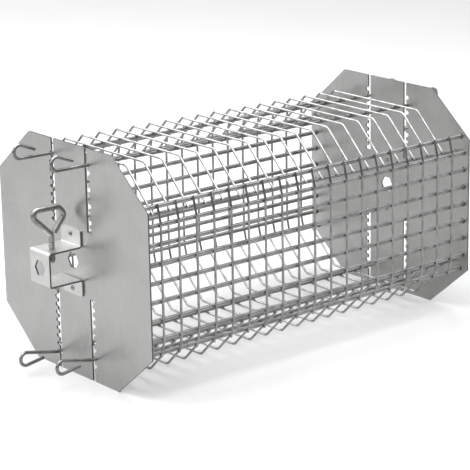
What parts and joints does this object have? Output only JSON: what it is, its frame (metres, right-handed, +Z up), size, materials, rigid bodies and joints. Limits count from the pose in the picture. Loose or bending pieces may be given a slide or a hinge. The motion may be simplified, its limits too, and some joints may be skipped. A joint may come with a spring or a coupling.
{
  "type": "rotisserie basket",
  "caption": "Adjustable wire rotisserie basket: octagonal end plates with notched slots, side walls, two lift-out cages with finger loops, spit brackets with clamp screws.",
  "frame": {"origin": "on the spit axis, halfway between the end plates", "axes": "+X along the spit from the left plate to the right plate, +Y to the back wall, +Z up to the top cage"},
  "size_m": [0.4384, 0.2108, 0.2],
  "materials": {
    "plate": "fine upright brushing",
    "bracket": "satin, cut edges darker",
    "rivet": "satin",
    "long_wire": "bright drawn wire, electropolished",
    "cross_wire": "bright drawn wire, electropolished",
    "screw": "bright bent rod"
  },
  "bodies": {
    "frame": {"left_end_plate": "plate", "right_end_plate": "plate", "left_spit_bracket": "bracket", "right_spit_bracket": "bracket", "left_bracket_rivets": "rivet", "right_bracket_rivets": "rivet", "front_wall_long_wires": "long_wire", "front_wall_upright_wires": "cross_wire", "back_wall_long_wires": "long_wire", "back_wall_upright_wires": "cross_wire"},
    "top_cage": {"top_cage_front_looped_wire": "long_wire", "top_cage_front_edge_wire": "long_wire", "top_cage_back_looped_wire": "long_wire", "top_cage_back_edge_wire": "long_wire", "top_cage_hoop_01": "cross_wire", "top_cage_hoop_02": "cross_wire", "top_cage_hoop_03": "cross_wire", "top_cage_hoop_04": "cross_wire", "top_cage_hoop_05": "cross_wire", "top_cage_hoop_06": "cross_wire", "top_cage_hoop_07": "cross_wire", "top_cage_hoop_08": "cross_wire", "top_cage_hoop_09": "cross_wire", "top_cage_hoop_10": "cross_wire", "top_cage_hoop_11": "cross_wire", "top_cage_hoop_12": "cross_wire", "top_cage_hoop_13": "cross_wire", "top_cage_hoop_14": "cross_wire", "top_cage_hoop_15": "cross_wire", "top_cage_hoop_16": "cross_wire", "top_cage_hoop_17": "cross_wire", "top_cage_hoop_18": "cross_wire", "top_cage_hoop_19": "cross_wire"},
    "bottom_cage": {"bottom_cage_front_looped_wire": "long_wire", "bottom_cage_front_edge_wire": "long_wire", "bottom_cage_back_looped_wire": "long_wire", "bottom_cage_back_edge_wire": "long_wire", "bottom_cage_hoop_01": "cross_wire", "bottom_cage_hoop_02": "cross_wire", "bottom_cage_hoop_03": "cross_wire", "bottom_cage_hoop_04": "cross_wire", "bottom_cage_hoop_05": "cross_wire", "bottom_cage_hoop_06": "cross_wire", "bottom_cage_hoop_07": "cross_wire", "bottom_cage_hoop_08": "cross_wire", "bottom_cage_hoop_09": "cross_wire", "bottom_cage_hoop_10": "cross_wire", "bottom_cage_hoop_11": "cross_wire", "bottom_cage_hoop_12": "cross_wire", "bottom_cage_hoop_13": "cross_wire", "bottom_cage_hoop_14": "cross_wire", "bottom_cage_hoop_15": "cross_wire", "bottom_cage_hoop_16": "cross_wire", "bottom_cage_hoop_17": "cross_wire", "bottom_cage_hoop_18": "cross_wire", "bottom_cage_hoop_19": "cross_wire"},
    "left_screw": {"left_clamp_thread": "screw"},
    "left_eye": {"left_clamp_eye": "screw"},
    "right_screw": {"right_clamp_thread": "screw"},
    "right_eye": {"right_clamp_eye": "screw"}
  },
  "joints": [
    {"name": "top_cage_height", "type": "slide", "parent": "frame", "child": "top_cage", "axis": [0, 0, 1], "range_m": [-0.042, 0]},
    {"name": "bottom_cage_height", "type": "slide", "parent": "frame", "child": "bottom_cage", "axis": [0, 0, 1], "range_m": [0, 0.042]},
    {"name": "left_screw_travel", "type": "slide", "parent": "frame", "child": "left_screw", "axis": [0, 0, 1], "range_m": [-0.0016, 0.008]},
    {"name": "left_screw_turn", "type": "hinge", "parent": "left_screw", "child": "left_eye", "pos_m": [-0.1994, 0, 0.0205], "axis": [0, 0, 1], "range_deg": [-720, 3600]},
    {"name": "right_screw_travel", "type": "slide", "parent": "frame", "child": "right_screw", "axis": [0, 0, 1], "range_m": [-0.0016, 0.008]},
    {"name": "right_screw_turn", "type": "hinge", "parent": "right_screw", "child": "right_eye", "pos_m": [0.1994, 0, 0.0205], "axis": [0, 0, 1], "range_deg": [-720, 3600]}
  ],
  "couplings": [
    {"joint": "left_screw_turn", "follows": "left_screw_travel", "rad_per_m": 7854},
    {"joint": "right_screw_turn", "follows": "right_screw_travel", "rad_per_m": 7854}
  ]
}
